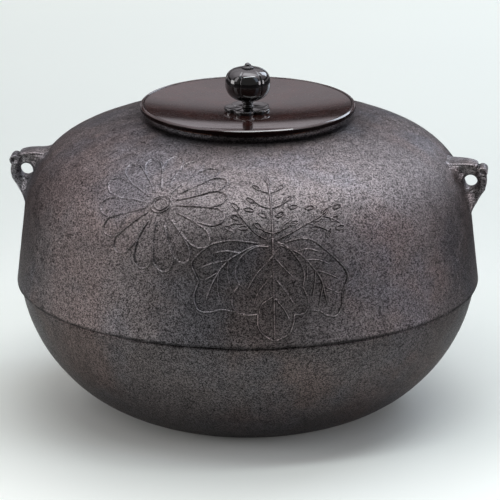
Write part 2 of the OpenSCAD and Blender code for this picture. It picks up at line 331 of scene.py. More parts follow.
def capped_mesh(points):
    """Mesh over an outline turned round the axis, closed with a fan at its first and its last row."""
    rows, segments, _ = points.shape
    verts = np.vstack([points.reshape(-1, 3), points[0].mean(0), points[-1].mean(0)])
    first, last = rows * segments, rows * segments + 1
    faces = grid_faces(rows, segments, False).tolist()
    for i in range(segments):
        j = (i + 1) % segments
        faces.append([first, j, i])
        faces.append([last, (rows - 1) * segments + i, (rows - 1) * segments + j])
    return verts, faces


def surface_nets(values, low, step):
    """Mesh over the zero surface of a grid of signed distances."""
    size = np.array(values.shape)
    cells = size - 1
    total, hits = np.zeros((*cells, 3)), np.zeros(cells)
    quads = []
    for a in range(3):
        b, c = (a + 1) % 3, (a + 2) % 3
        near = np.take(values, np.arange(size[a] - 1), axis=a)
        far = np.take(values, np.arange(1, size[a]), axis=a)
        edge = np.argwhere((near < 0) != (far < 0))
        inner = (edge[:, [b, c]] > 0).all(1) & (edge[:, [b, c]] < size[[b, c]] - 1).all(1)
        edge = edge[inner]
        start, end = near[tuple(edge.T)], far[tuple(edge.T)]
        crossing = edge.astype(float)
        crossing[:, a] += start / (start - end)
        corners = []
        for db, dc in ((0, 0), (1, 0), (1, 1), (0, 1)):
            cell = edge.copy()
            cell[:, b] -= db
            cell[:, c] -= dc
            np.add.at(total, tuple(cell.T), crossing)
            np.add.at(hits, tuple(cell.T), 1)
            corners.append(np.ravel_multi_index(tuple(cell.T), cells))
        quad = np.stack(corners, axis=1)
        quad[start < 0] = quad[start < 0][:, ::-1]
        quads.append(quad)
    used = hits > 0
    index = np.full(hits.size, -1)
    index[used.ravel()] = np.arange(used.sum())
    verts = np.array(low) + step * total[used] / hits[used][:, None]
    return verts, index[np.concatenate(quads)][:, ::-1]


def smooth_min(a, b, reach):
    """Union of two distances with a fillet."""
    h = np.clip(0.5 + 0.5 * (b - a) / reach, 0, 1)
    return b + (a - b) * h - reach * h * (1 - h)


def smooth_max(a, b, reach):
    """Common part of two distances with a rounded edge."""
    return -smooth_min(-a, -b, reach)


# Materials

# Sockets of a Mix node that hold colours: their names are those of its other sockets too
MIX_A, MIX_B, MIX_RESULT = 6, 7, 2
NOISE_ROUGHNESS = 0.55


class Nodes:
    """The node tree of a material or a world, built up node by node."""

    def __init__(self, owner):
        owner.use_nodes = True
        self.nodes = owner.node_tree.nodes
        self.links = owner.node_tree.links
        self.coordinates = self.node("TexCoord").outputs
        self.place = self.coordinates["Object"]

    def node(self, kind, sockets=None, **settings):
        """A new node with its settings, and with a value or another node's output in its sockets."""
        node = self.nodes.new("ShaderNode" + kind)
        for setting, value in settings.items():
            setattr(node, setting, value)
        for socket, value in (sockets or {}).items():
            if isinstance(value, (int, float, tuple)):
                node.inputs[socket].default_value = value
            else:
                self.links.new(value, node.inputs[socket])
        return node

    def noise(self, grain, detail=3.0, shift=0.0):
        """Noise whose patches are about grain millimetres wide."""
        moved = self.node("Mapping", {"Location": (shift, shift, shift), "Vector": self.place})
        sockets = {"Scale": 1 / (grain * MM), "Detail": detail, "Roughness": NOISE_ROUGHNESS}
        return self.node("TexNoise", {**sockets, "Vector": moved.outputs["Vector"]}).outputs["Fac"]

    def grains(self, size):
        """Packed grains about size millimetres wide: a random tone for each, and its rounded height."""
        cells = self.node("TexVoronoi", {"Scale": 1 / (size * MM), "Vector": self.place}).outputs
        split = self.node("SeparateColor", {"Color": cells["Color"]})
        return split.outputs["Red"], self.math("SUBTRACT", 1.0, cells["Distance"])

    def mark(self, label):
        """Value that the mesh holds for each point, or 0 where it holds none."""
        return self.node("Attribute", attribute_name=label).outputs["Fac"]

    def level(self, value, low, high, start=0.0, end=1.0):
        """A value that goes smoothly from start to end as the input goes from low to high."""
        sockets = {"Value": value, "From Min": low, "From Max": high, "To Min": start, "To Max": end}
        return self.node("MapRange", sockets, interpolation_type="SMOOTHSTEP").outputs["Result"]

    def math(self, operation, a, b):
        """Sum, product or other result of two values, each a socket or a number."""
        return self.node("Math", {0: a, 1: b}, operation=operation).outputs["Value"]

    def mix(self, share, a, b):
        """Blend of two colours by a share, each a socket or a value."""
        sockets = {"Factor": share, MIX_A: a, MIX_B: b}
        return self.node("Mix", sockets, data_type="RGBA").outputs[MIX_RESULT]

    def shade(self, colour, light):
        """A colour made lighter or darker by a factor."""
        return self.node("VectorMath", {0: colour, "Scale": light}, operation="SCALE").outputs["Vector"]

    def bump(self, height, depth, under=None):
        """Normal over a height from 0 to 1 that stands for depth millimetres."""
        sockets = {"Strength": 1.0, "Distance": depth * MM, "Height": height}
        if under is not None:
            sockets["Normal"] = under
        return self.node("Bump", sockets).outputs["Normal"]


class Shader(Nodes):
    """One procedural material over the object's own millimetres."""

    def __init__(self, name, **constants):
        self.material = bpy.data.materials.new(name)
        super().__init__(self.material)
        self.surface = self.nodes["Principled BSDF"]
        for socket, value in constants.items():
            self.surface.inputs[socket.replace("_", " ")].default_value = value

    def feed(self, **sockets):
        """Links outputs to the surface's own sockets."""
        for socket, output in sockets.items():
            self.links.new(output, self.surface.inputs[socket.replace("_", " ")])
        return self.material


IRON_GLINT = (0.35, 0.35, 0.35, 1.0)
INSIDE_RUST = srgb(58, 50, 48), srgb(96, 62, 46)


def cast_iron(name, grain_depth, *tones):
    """Sand-cast iron: grain, brown and grey patches, dark pits, a rusty inside, seam dirt, painted shade
    in hollows, and ridge crests lightened by wear and a painted highlight.
    """
    base, warm, cool = (srgb(*tone) for tone in tones)
    shader = Shader(name, Metallic=0.75, Specular_IOR_Level=0.8, Specular_Tint=IRON_GLINT)
    patches = shader.level(shader.noise(60, detail=4), 0.44, 0.66, 0.0, 0.6)
    blooms = shader.level(shader.noise(48, detail=4, shift=0.7), 0.46, 0.66, 0.0, 0.6)
    mottle = shader.noise(9, detail=4)
    tone, height = shader.grains(0.52)
    pits = shader.noise(1.6, detail=2, shift=0.3)
    rust = shader.level(shader.noise(14, detail=5, shift=0.5), 0.38, 0.62)
    colour = shader.mix(patches, base, warm)
    colour = shader.mix(blooms, colour, cool)
    colour = shader.mix(shader.mark("inside"), colour, shader.mix(rust, *INSIDE_RUST))
    light = 1.0
    # Each with the range of its values, and the shade that the colour takes at either end
    for shaded in (
        (mottle, 0.25, 0.75, 0.86, 1.14),
        (tone, 0.0, 1.0, 0.25, 1.75),
        (pits, 0.33, 0.43, 0.5, 1.0),
        # Seam dirt, and painted shade round the neck, in the lugs' hollows and at the ridges' feet,
        # where dirt also lies
        (shader.mark("dirt_and_painted_shade"), 0.0, 1.0, 1.0, 0.15),
        # Ridge crests lightened by wear and by a painted highlight
        (shader.mark("wear_and_highlight"), 0.0, 1.0, 1.0, 1.6),
    ):
        light = shader.math("MULTIPLY", light, shader.level(*shaded))
    coarse = shader.bump(shader.noise(4.5, detail=3, shift=0.2), 0.5 * grain_depth)
    normal = shader.bump(height, 0.4 * grain_depth, under=coarse)
    rough = shader.level(mottle, 0.3, 0.7, 0.30, 0.40)
    return shader.feed(Base_Color=shader.shade(colour, light), Roughness=rough, Normal=normal)


def patinated_bronze(name, coat_roughness, coat_ior, *tones):
    """Dark stained bronze under a polished lacquer, with faint cloudy patches, and painted shade where a
    mark darkens it.
    """
    base, warm = (srgb(*tone) for tone in tones)
    shader = Shader(name, Metallic=0.0, Specular_IOR_Level=0.1,
                    Coat_Roughness=coat_roughness, Coat_IOR=coat_ior)
    clouds = shader.level(shader.noise(16, detail=5), 0.4, 0.66)
    spots = shader.level(shader.noise(2.2, detail=3, shift=0.4), 0.55, 0.75, 0.0, 0.35)
    colour = shader.mix(clouds, base, warm)
    colour = shader.mix(spots, colour, warm)
    # Painted shade on the lid's outer side and in the fine line inside its bead, which also lose most of
    # their lacquer coat
    colour = shader.shade(colour, shader.level(shader.mark("dirt_and_painted_shade"), 0.0, 1.0, 1.0, 0.2))
    coat = shader.level(shader.mark("dirt_and_painted_shade"), 0.0, 1.0, 1.0, 0.05)
    rough = shader.level(shader.noise(9, detail=4, shift=0.9), 0.3, 0.7, 0.2, 0.32)
    ripple = shader.bump(shader.noise(9, detail=2, shift=0.1), 0.02)
    normal = shader.bump(shader.noise(0.9, detail=2), 0.004, under=ripple)
    return shader.feed(Base_Color=colour, Roughness=rough, Normal=normal,
                       Coat_Weight=coat, Coat_Normal=ripple)


def rusted_plate(name):
    """Thin iron flake that has rusted under water."""
    shader = Shader(name, Metallic=0.0)
    rust = shader.level(shader.noise(5, detail=5), 0.38, 0.62)
    grains = shader.noise(0.8, detail=3)
    colour = shader.mix(rust, srgb(62, 52, 48), srgb(112, 66, 42))
    colour = shader.mix(shader.level(grains, 0.4, 0.7, 0.0, 0.5), colour, srgb(40, 33, 31))
    return shader.feed(Base_Color=colour, Roughness=shader.level(rust, 0, 1, 0.6, 0.85),
                       Normal=shader.bump(grains, 0.12))


def dried_lacquer(name):
    """Brown-black lacquer mixed with iron filings."""
    shader = Shader(name, Metallic=0.0)
    cloud = shader.level(shader.noise(3, detail=4), 0.35, 0.65)
    colour = shader.mix(cloud, srgb(34, 24, 20), srgb(66, 42, 32))
    return shader.feed(Base_Color=colour, Roughness=shader.level(cloud, 0, 1, 0.3, 0.6),
                       Normal=shader.bump(shader.noise(1.4, detail=3), 0.15))


# The finish of each material slot
FINISHES = {
    "body_iron": cast_iron("cast_iron_body", 0.45, (123, 117, 117), (130, 116, 113), (118, 118, 124)),
    # The bottom is a copy of the body's iron made darker as painted shade
    "bottom_iron": cast_iron("cast_iron_bottom_painted_shade", 0.5, (102, 96, 96), (110, 95, 91), (97, 96, 100)),
    # The lugs are a copy of the body's iron made lighter as painted light
    "lug_iron": cast_iron("cast_iron_lug_painted_light", 0.25, (150, 145, 146), (154, 142, 139), (147, 148, 154)),
    "lid_bronze": patinated_bronze("lid_bronze_patina", 0.05, 1.7, (50, 25, 21), (64, 31, 25)),
    "knob_bronze": patinated_bronze("knob_bronze_patina", 0.03, 1.85, (10, 7, 7), (15, 10, 9)),
    "plate_iron": rusted_plate("rusted_iron"),
    "lacquer": dried_lacquer("dried_lacquer_putty"),
}


# Body and bowl

OUTER_STEP = 1.4
INNER_STEP = 5.0
BODY_SEGMENTS = 596
BODY_SHARP = 50
BASE_HUB_R = 4.0


def body_outer_outline():
    """Outside of the upper body from the skirt's lower face up to the neck."""
    edge_z = SEAM_Z + SKIRT_EDGE_R
    edge_c = np.array([wall_x(edge_z) - SKIRT_EDGE_R / math.cos(math.radians(WALL_LEAN)), edge_z])
    fillet_x = NECK_R + NECK_FILLET_R
    fillet_turn = dome_angle(fillet_x, DOME_R + NECK_FILLET_R)
    fillet_c = DOME_C + (DOME_R + NECK_FILLET_R) * direction(fillet_turn)
    return joined(
        arc(edge_c, SKIRT_EDGE_R, -90, WALL_LEAN, 0.35),
        line(edge_c + SKIRT_EDGE_R * direction(WALL_LEAN), WALL_HEAD, OUTER_STEP),
        arc(SHOULDER_C, SHOULDER_R, WALL_LEAN, DOME_TURN, OUTER_STEP),
        arc(DOME_C, DOME_R, DOME_TURN, fillet_turn, OUTER_STEP),
        arc(fillet_c, NECK_FILLET_R, fillet_turn + 180, 180, 0.5),
    )


BODY_OUTLINE = body_outer_outline()
BODY_NORMAL = outline_normals(BODY_OUTLINE)
BODY_LENGTH = np.r_[0, np.cumsum(np.linalg.norm(np.diff(BODY_OUTLINE, axis=0), axis=1))]
CASTING = Noise(11)
SKIN_WAVES = [(0.16, 46, 0), (0.07, 17, 300), (0.045, 5.5, -200), (0.05, 2.6, 90)]
SEAM_WAVES = [(0.35, 12, 500)]
SEAM_WAVE_REACH = 2.5
SEAM_DIRT = 0.9
SEAM_DIRT_WAVES = [(0.35, 6, 40)]
SEAM_DIRT_REACH = 1.6
# Painted shade round the neck, where the lid shadows the dome: its strength, noise and reach
NECK_PAINTED_SHADE = 0.62
NECK_SHADE_WAVES = [(0.15, 11, 60)]
NECK_SHADE_REACH = 34.0


def cast_shift(points):
    """How far a casting's skin lies off its ideal surface, in millimetres."""
    return waves(CASTING, points, SKIN_WAVES)


def near_seam(points, reach):
    """Share from 0 to 1 that says how near the seam a point is."""
    return np.exp(-((points[..., 2] - SEAM_Z) / reach) ** 2)


def cast_skin(outer, rest):
    """A turned outline whose outer rows are uneven as a casting is, and a column that marks them."""
    outline = np.vstack([outer, rest])
    outside = np.r_[np.ones(len(outer)), np.zeros(len(rest))][:, None]
    points = turn(outline, BODY_SEGMENTS)
    shift = cast_shift(points) * outside
    points = points + turn(outline_normals(outline), BODY_SEGMENTS) * shift[..., None]
    points[..., 2] += near_seam(points, SEAM_WAVE_REACH) * waves(CASTING, points, SEAM_WAVES) * outside
    return points, outside


def casting_marks(points, outside):
    """Marks of a casting: its rusty inside, the dirt that lies in the seam, and painted shade round the
    neck where the lid shadows the dome.
    """
    inside = np.broadcast_to(1 - outside, points.shape[:2])
    dirt = near_seam(points, SEAM_DIRT_REACH) * (SEAM_DIRT + waves(CASTING, points, SEAM_DIRT_WAVES))
    off_neck = np.hypot(points[..., 0], points[..., 1]) - NECK_R
    # Painted shade that fades out from the neck, for the lid's shadow on the dome
    neck_shade = np.clip(1 - off_neck / NECK_SHADE_REACH, 0, 1) * (points[..., 2] > WALL_TOP_Z)
    dirt = dirt + (NECK_PAINTED_SHADE + waves(CASTING, points, NECK_SHADE_WAVES)) * neck_shade
    return {"inside": inside, "dirt_and_painted_shade": np.clip(dirt, 0, 1)}


def make_body():
    inner_arc = DOME_R - WALL_T
    top_angle = dome_angle(MOUTH_R, inner_arc)
    wall_in_x = wall_x(LAP_Z) - WALL_T / math.cos(math.radians(WALL_LEAN))
    neck_edge = np.array([NECK_R - MOUTH_EDGE_R, MOUTH_Z - MOUTH_EDGE_R])
    bore_edge = np.array([MOUTH_R + MOUTH_EDGE_R, MOUTH_Z - MOUTH_EDGE_R])
    bore_foot = DOME_C + inner_arc * direction(top_angle)
    rest = joined(
        line(BODY_OUTLINE[-1], neck_edge + [MOUTH_EDGE_R, 0], 0.6)[1:],
        arc(neck_edge, MOUTH_EDGE_R, 0, 90, 0.3),
        arc(bore_edge, MOUTH_EDGE_R, 90, 180, 0.3),
        line(bore_edge - [MOUTH_EDGE_R, 0], bore_foot, 2),
        arc(DOME_C, inner_arc, top_angle, DOME_TURN, INNER_STEP),
        arc(SHOULDER_C, SHOULDER_R - WALL_T, DOME_TURN, WALL_LEAN, INNER_STEP),
        line(WALL_HEAD - WALL_T * direction(WALL_LEAN), [wall_in_x, LAP_Z], INNER_STEP),
        line([wall_in_x, LAP_Z], [LAP_R, LAP_Z], INNER_STEP),
        line([LAP_R, LAP_Z], [LAP_R, SEAM_Z], INNER_STEP),
    )
    points, outside = cast_skin(BODY_OUTLINE, rest)
    make_piece("kettle_body", *ring_mesh(points), "kettle", "body_iron", ["upper_body"],
               sharp=BODY_SHARP, marks=casting_marks(points, outside))


def bowl_edge(edge_r, z):
    """Middle, at a height, of an edge that rounds off the bowl, and the angle where they meet."""
    within = BOWL_R - edge_r
    middle = np.array([BOWL_C[0] + math.sqrt(within ** 2 - (z - BOWL_C[1]) ** 2), z])
    return middle, bearing(*(middle - BOWL_C))


def make_bowl():
    edge_c, edge_turn = bowl_edge(BASE_EDGE_R, BASE_EDGE_R)
    lip_c, lip_turn = bowl_edge(BOWL_RIM_EDGE_R, SEAM_Z - BOWL_RIM_EDGE_R)
    in_r = BOWL_R - BOWL_T
    rim_turn = -math.degrees(math.asin((BOWL_C[1] - SEAM_Z) / in_r))
    floor_turn = -math.degrees(math.asin((BOWL_C[1] - BOWL_T) / in_r))
    outer = joined(
        line([BASE_HUB_R, 0], [edge_c[0], 0], INNER_STEP),
        arc(edge_c, BASE_EDGE_R, -90, edge_turn, 0.5),
        arc(BOWL_C, BOWL_R, edge_turn, lip_turn, OUTER_STEP),
        arc(lip_c, BOWL_RIM_EDGE_R, lip_turn, 90, 0.25),
    )
    rest = joined(
        line(outer[-1], [SPIGOT_R, SEAM_Z], 1)[1:],
        line([SPIGOT_R, SEAM_Z], [SPIGOT_R, SPIGOT_Z], INNER_STEP),
        line([SPIGOT_R, SPIGOT_Z], [SPIGOT_IN_R, SPIGOT_Z], 1),
        line([SPIGOT_IN_R, SPIGOT_Z], [SPIGOT_IN_R, SEAM_Z], INNER_STEP),
        arc(BOWL_C, in_r, rim_turn, floor_turn, INNER_STEP),
        line(BOWL_C + in_r * direction(floor_turn), [BASE_HUB_R, BOWL_T], INNER_STEP),
    )
    points, outside = cast_skin(outer, rest)
    points[..., 2] = np.maximum(points[..., 2], 0)
    marks = casting_marks(points, outside)
    # The fans that close the hub add one point each
    marks = {label: np.r_[values.ravel(), 0, 0] for label, values in marks.items()}
    make_piece("kettle_bottom", *capped_mesh(points), "kettle", "bottom_iron", ["bottom_bowl"],
               sharp=BODY_SHARP, marks=marks)


# Raised line ornament on the body

def on_body(turned, length, lift):
    """Points on the body's outside, from an angle off the front, a length up the outline and a lift."""
    r, z, normal_r, normal_z = (np.interp(length, BODY_LENGTH, column)
                                for column in (*BODY_OUTLINE.T, *BODY_NORMAL.T))
    across, ahead = np.sin(turned), -np.cos(turned)
    ideal = np.stack([r * across, r * ahead, z], axis=-1)
    normal = np.stack([normal_r * across, normal_r * ahead, normal_z], axis=-1)
    return ideal + normal * (lift + cast_shift(ideal))[..., None]


def length_at(z):
    """Length up the body's outline at a height."""
    return float(np.interp(z, BODY_OUTLINE[:, 1], BODY_LENGTH))


PATH_STEP = 0.7
SPLINE_STEPS = 16


def smooth_path(points):
    """A smooth line through a few points, sampled evenly."""
    p = np.array(points, float)
    p = np.vstack([2 * p[0] - p[1], p, 2 * p[-1] - p[-2]])
    dense = []
    for a, b, c, d in zip(p[:-3], p[1:-2], p[2:-1], p[3:]):
        for t in np.linspace(0, 1, SPLINE_STEPS, endpoint=False):
            dense.append(0.5 * (2 * b + (c - a) * t + (2 * a - 5 * b + 4 * c - d) * t ** 2
                                + (3 * b - a - 3 * c + d) * t ** 3))
    dense = np.array(dense + [p[-2]])
    along = np.r_[0, np.cumsum(np.linalg.norm(np.diff(dense, axis=0), axis=1))]
    even = np.linspace(0, along[-1], max(4, int(along[-1] / PATH_STEP) + 1))
    return np.column_stack([np.interp(even, along, dense[:, i]) for i in range(2)])


# Half of a ridge's section from its edge to its crest: place across, rise, and the darkening there,
# painted shade and dirt at its foot
RIDGE_HALF = [
    (1.75, -0.3, 0.3), (1.4, 0.08, 0.85), (1.0, 0.14, 1.0), (0.6, 0.6, 0.45), (0.28, 0.93, 0.0),
]
RIDGE_CREST, RIDGE_ROOT = (0.0, 1.0, 0.0), (0.0, -1.2, 0.0)
RIDGE = np.array([(-across, rise, dirt) for across, rise, dirt in RIDGE_HALF]
                 + [RIDGE_CREST] + RIDGE_HALF[::-1] + [RIDGE_ROOT])
RIDGE_WORN = RIDGE[:, 1] > 0.2
# Share of the painted highlight and wear across a ridge, strongest on its crest
RIDGE_CREST_LIGHT = np.clip((RIDGE[:, 1] - 0.5) / 0.4, 0, 1)
RIDGE_HALF_W = 0.58
RIDGE_H = 0.8
VEIN_HALF_W = 0.5
VEIN_H = 0.65
STALK_HALF_W = 0.46
BUD_HALF_W = 0.4
# Height that wear has left along a ridge: its mean, its noise and its limits
WORN = 0.9
WORN_WAVES = [(0.4, 9, 0), (0.2, 3, 50)]
WORN_LEAST, WORN_MOST = 0.35, 1.2
TAPER = 2.0
# Between these heights the painted shade and dirt at the ridges' feet fall off and the painted highlight
# and wear on their crests grow
FOOT_SHADE_Z = 138.0
CREST_HIGHLIGHT_Z = 158.0
# Share of the painted shade and dirt at the ridges' feet that is taken off above the second height
DOME_FOOT_SHADE_CUT = 0.7
# Share of the crests' painted highlight and wear that is kept below the first height
WALL_CREST_HIGHLIGHT = 0.75


class Relief:
    """Raised lines drawn in a flat field of millimetres that is laid on the body at one place."""

    def __init__(self, turned, z, seed, dirty=1.0):
        self.dirty = dirty
        self.turned = math.radians(turned)
        self.length = length_at(z)
        self.verts, self.faces, self.dirt, self.wear_and_highlight = [], [], [], []
        self.noise = Noise(seed)

    def ridge(self, points, half_w=RIDGE_HALF_W, rise=RIDGE_H):
        """One raised line through points (across, up), with worn stretches and tapered ends."""
        path = smooth_path(points)
        count = len(path)
        along = np.gradient(path, axis=0)
        along /= np.linalg.norm(along, axis=1)[:, None]
        side = np.column_stack([-along[:, 1], along[:, 0]])
        field = np.column_stack([path, np.zeros(count)])
        worn = np.clip(WORN + waves(self.noise, field, WORN_WAVES), WORN_LEAST, WORN_MOST)
        ends = np.minimum(np.arange(count), np.arange(count)[::-1]) * PATH_STEP
        worn = worn * np.clip(WORN_LEAST + ends / TAPER, 0, 1)
        flat = path[:, None, :] + side[:, None, :] * (half_w * RIDGE[:, 0])[None, :, None]
        lift = rise * RIDGE[:, 1] * np.where(RIDGE_WORN, worn[:, None], 1)
        length = self.length + flat[..., 1]
        radius = np.interp(length, BODY_LENGTH, BODY_OUTLINE[:, 0])
        points3 = on_body(self.turned + flat[..., 0] / radius, length, lift)
        start, ring = len(self.verts), len(RIDGE)
        self.verts.extend(points3.reshape(-1, 3))
        # Painted shade and dirt at the feet, less on the dome; painted highlight and wear on the crests,
        # more on the dome
        domeward = np.clip((points3[..., 2] - FOOT_SHADE_Z) / (CREST_HIGHLIGHT_Z - FOOT_SHADE_Z), 0, 1)
        kept = np.clip(worn, 0.5, 1)[:, None]
        crest_highlight = WALL_CREST_HIGHLIGHT + (1 - WALL_CREST_HIGHLIGHT) * domeward
        self.dirt.extend((self.dirty * RIDGE[:, 2] * kept * (1 - DOME_FOOT_SHADE_CUT * domeward)).ravel())
        # Painted highlight and wear along the crests
        self.wear_and_highlight.extend((RIDGE_CREST_LIGHT * kept * crest_highlight).ravel())
        self.faces.extend(start + grid_faces(count, ring, False)[:, ::-1])
        self.faces.append(start + np.arange(ring))
        self.faces.append(start + (count - 1) * ring + np.arange(ring)[::-1])

    def finish(self, name):
        make_piece(name, self.verts, self.faces, "kettle", "body_iron",
                   marks={"dirt_and_painted_shade": self.dirt, "wear_and_highlight": self.wear_and_highlight})


FLOWER_TURN = -19.0
FLOWER_Z = 152.2
FLOWER_PETALS = 16
FLOWER_EYE_R = 5.6
PETAL_TIP_R = 38.8
NOTCH_R = 25.0
PETAL_HALF = 5.9
FLOWER_EYE_GAP = 1.7
FLOWER_EYE_POINTS = 13
FLOWER_EYE_WAVE = 0.07
# Share of the painted shade and dirt at the feet of the flower's ridges
FLOWER_FOOT_SHADE = 0.45
# Ranges from which each petal is drawn: its lean, and the shares by which its sizes differ
LEAN_RANGE = (-0.045, 0.045)
TIP_RANGE = (0.96, 1.04)
NOTCH_RANGE = (0.9, 1.1)
WIDTH_RANGE = (0.92, 1.05)
# Ranges of the line between two petals: how far off the eye it starts, and its bend
RAY_START_RANGE = (2.5, 8)
RAY_BEND_RANGE = (-0.5, 0.5)
# A petal's cap on either side of its tip: share of its half width, and distance in from the tip
CAP_LEFT = [(-0.96, 9), (-0.9, 5), (-0.5, 1.2)]
CAP_RIGHT = [(0.55, 1.3), (0.92, 5), (0.96, 9)]
CAP_TIP_OFF = 0.1


def ray_axes(lean):
    """Directions across and along a ray that leans from upright by an angle in radians."""
    return np.array([math.cos(lean), -math.sin(lean)]), np.array([math.sin(lean), math.cos(lean)])


def make_chrysanthemum():
    """Petals round an eye, with a cap on each and one line between neighbours."""
    relief = Relief(FLOWER_TURN, FLOWER_Z, 21, dirty=FLOWER_FOOT_SHADE)
    rng = np.random.default_rng(5)
    for ring_r in (FLOWER_EYE_R, FLOWER_EYE_R - FLOWER_EYE_GAP):
        angle = np.linspace(0, 2 * math.pi, FLOWER_EYE_POINTS)
        uneven = ring_r * (1 + FLOWER_EYE_WAVE * np.sin(2 * angle + ring_r))
        relief.ridge(np.column_stack([uneven * np.sin(angle), uneven * np.cos(angle)]), rise=VEIN_H)
    sector = 2 * math.pi / FLOWER_PETALS
    leans = [sector * (i + 0.5) + rng.uniform(*LEAN_RANGE) for i in range(FLOWER_PETALS)]
    for i, lean in enumerate(leans):
        before = (lean - leans[i - 1]) % (2 * math.pi) / 2
        after = (leans[(i + 1) % FLOWER_PETALS] - lean) % (2 * math.pi) / 2
        out = PETAL_TIP_R * rng.uniform(*TIP_RANGE)
        notch = NOTCH_R * rng.uniform(*NOTCH_RANGE)
        left, right = -math.tan(before), math.tan(after)
        wide = PETAL_HALF * rng.uniform(*WIDTH_RANGE)
        rise, fall = ([(share * wide, out - back) for share, back in half]
                      for half in (CAP_LEFT, CAP_RIGHT))
        cap = [(left * notch, notch), *rise, (CAP_TIP_OFF, out), *fall, (right * notch, notch)]
        across, along = ray_axes(lean)
        relief.ridge([across * a + along * b for a, b in cap])
        between = lean + after
        inner = FLOWER_EYE_R + rng.uniform(*RAY_START_RANGE)
        bend = rng.uniform(*RAY_BEND_RANGE)
        side, ray = ray_axes(between)
        middle = ray * (notch + inner) / 2 + side * bend
        relief.ridge([ray * (notch + 0.5), middle, ray * inner], rise=VEIN_H)
    relief.finish("chrysanthemum_relief")


LEAF_TURN = 11.75
LEAF_Z = 126.85
LEAF_LINES = [
    # Midribs of the middle, left and right leaf
    [(0.3, 12), (0, 0), (0.3, -22), (0.4, -47)],
    [(-4, 8), (-11.5, 7), (-18.3, 3.6), (-25.2, -0.6), (-30.7, -7.6), (-35, -15.4), (-39, -26)],
    [(4, 8), (10, 5), (15.7, 2), (22, -4.7), (27.5, -12.8), (29.6, -20.6), (32, -29)],
    # Middle leaf, left edge from lobe to lobe and then the right edge
    [(-2, 7), (-9, 7), (-15.6, 3.6), (-20, -2.5), (-21.3, -9.4), (-19, -14)],
    [(-19, -14), (-22.7, -20.5), (-23.2, -26.7), (-19.5, -31), (-14, -32), (-9, -31.5)],
    [(-9, -31.5), (-8.7, -38.4), (-6, -43.3), (0.4, -47.4)],
    [(3, 9), (7, 7.5), (11.6, 3), (16.3, -4.2), (18, -10.6), (17, -16.7)],
    [(17, -16.7), (19.6, -23), (20, -28), (17.4, -32), (12, -32.5)],
    [(12, -32.5), (11, -38.5), (8.3, -43.8), (0.4, -47.4)],
    # Left leaf
    [(-8, 9), (-20, 10.5), (-27, 10), (-33, 8.6), (-38, 5.7), (-45, -1), (-46, -5), (-42, -13.7)],
    [(-42, -13.7), (-44.7, -20), (-44.8, -25.6), (-42, -30.3), (-36, -30.6), (-29.7, -29), (-22, -29.8)],
    # Right leaf
    [(7, 9), (12, 10.3), (19, 10.5), (24.4, 8.7), (31.4, 2.7), (36.4, -1.9), (43, -9.6), (44, -14.6),
     (40.6, -21.8)],
    [(40.6, -21.8), (40.5, -29.4), (36.8, -35.2), (31, -34.2), (26.6, -31.4), (21, -30.5)],
]
LEAF_VEINS = [
    # Middle leaf
    [(0, 1.4), (-9, -8), (-14.6, -17)], [(-0.6, -9.6), (-7.8, -17.7), (-11.3, -26)],
    [(0, -21.3), (-6.6, -26), (-8.3, -31)], [(0.6, 0.7), (6.6, -5.7), (11.4, -10.8)],
    [(0.4, -10.3), (6.5, -18.2), (12, -26.7)], [(1, -22.8), (5.7, -28.5), (9, -35)],
    # Left leaf
    [(-18.3, 3.6), (-27, 4.5), (-34, 3)], [(-25.2, -0.6), (-34, -2.6), (-41, -5.5)],
    [(-30.7, -7.6), (-36.5, -11), (-40, -13)], [(-25.2, -0.6), (-25.6, -9), (-24.2, -16)],
    [(-30.7, -7.6), (-31.6, -16), (-30, -24)],
    # Right leaf
    [(13, 3.5), (20, 4.6), (27, 2.6)], [(19, -1.4), (26, -2), (33, -5)],
    [(24.5, -8), (31, -10), (38.5, -14)], [(28.6, -17), (34, -20), (38.5, -22.5)],
    [(19, -1.4), (19.6, -8), (19.4, -13)], [(24.5, -8), (23.8, -16), (22.6, -23)],
    [(28.6, -17), (27.6, -23), (26.4, -28.5)],
]
STEM = [(0.3, 12), (0.6, 32.5), (0.5, 48)]
STEM_STALKS = [(14.5, 7.5, 3.5), (29.5, 9, 4.5), (40, 6, 3.5)]
# Flower buds: place, and lean in degrees from upright
BUDS = [
    (-7.5, 19, 50), (8, 18.6, -50), (-10.5, 35, 55), (10.5, 35.4, -55), (-6.5, 44.5, 45), (7, 44.4, -45),
    (0.5, 50, 0), (-4.5, 25.5, 60), (5, 25.5, -60),
    (-12, 29, 80), (-20, 24, 70), (-16, 18, 95), (-24, 17.5, 60), (-19.5, 31, 40),
    (13, 30, -80), (22.5, 28.6, -85), (12.5, 20, -75), (24, 16, -80), (31.5, 25, -40), (39, 27.5, -80),
    (40, 15, -85), (33, 12.5, -30), (27, 21.5, -60), (37, 20.5, -70),
]
SIDE_STALKS = [
    [(-3, 11), (-9, 14.5), (-15, 21.5), (-20, 30)], [(-13, 19), (-20, 20.5), (-25, 19)],
    [(3, 11), (10, 14), (19, 18.5), (27, 22), (33, 26)], [(21, 19.5), (28, 16.5), (34, 13.5)],
    [(29, 23), (35, 21), (40, 18)],
]
# One bud's outline
BUD = [(0, -2.7), (-1.1, -1.0), (-1.05, 1.2), (0, 2.9), (1.05, 1.2), (1.1, -1.0), (0, -2.7)]
STEM_X = 0.5
# Where a stalk bends: shares of its reach and of its climb
STALK_BEND = (0.55, 0.35)


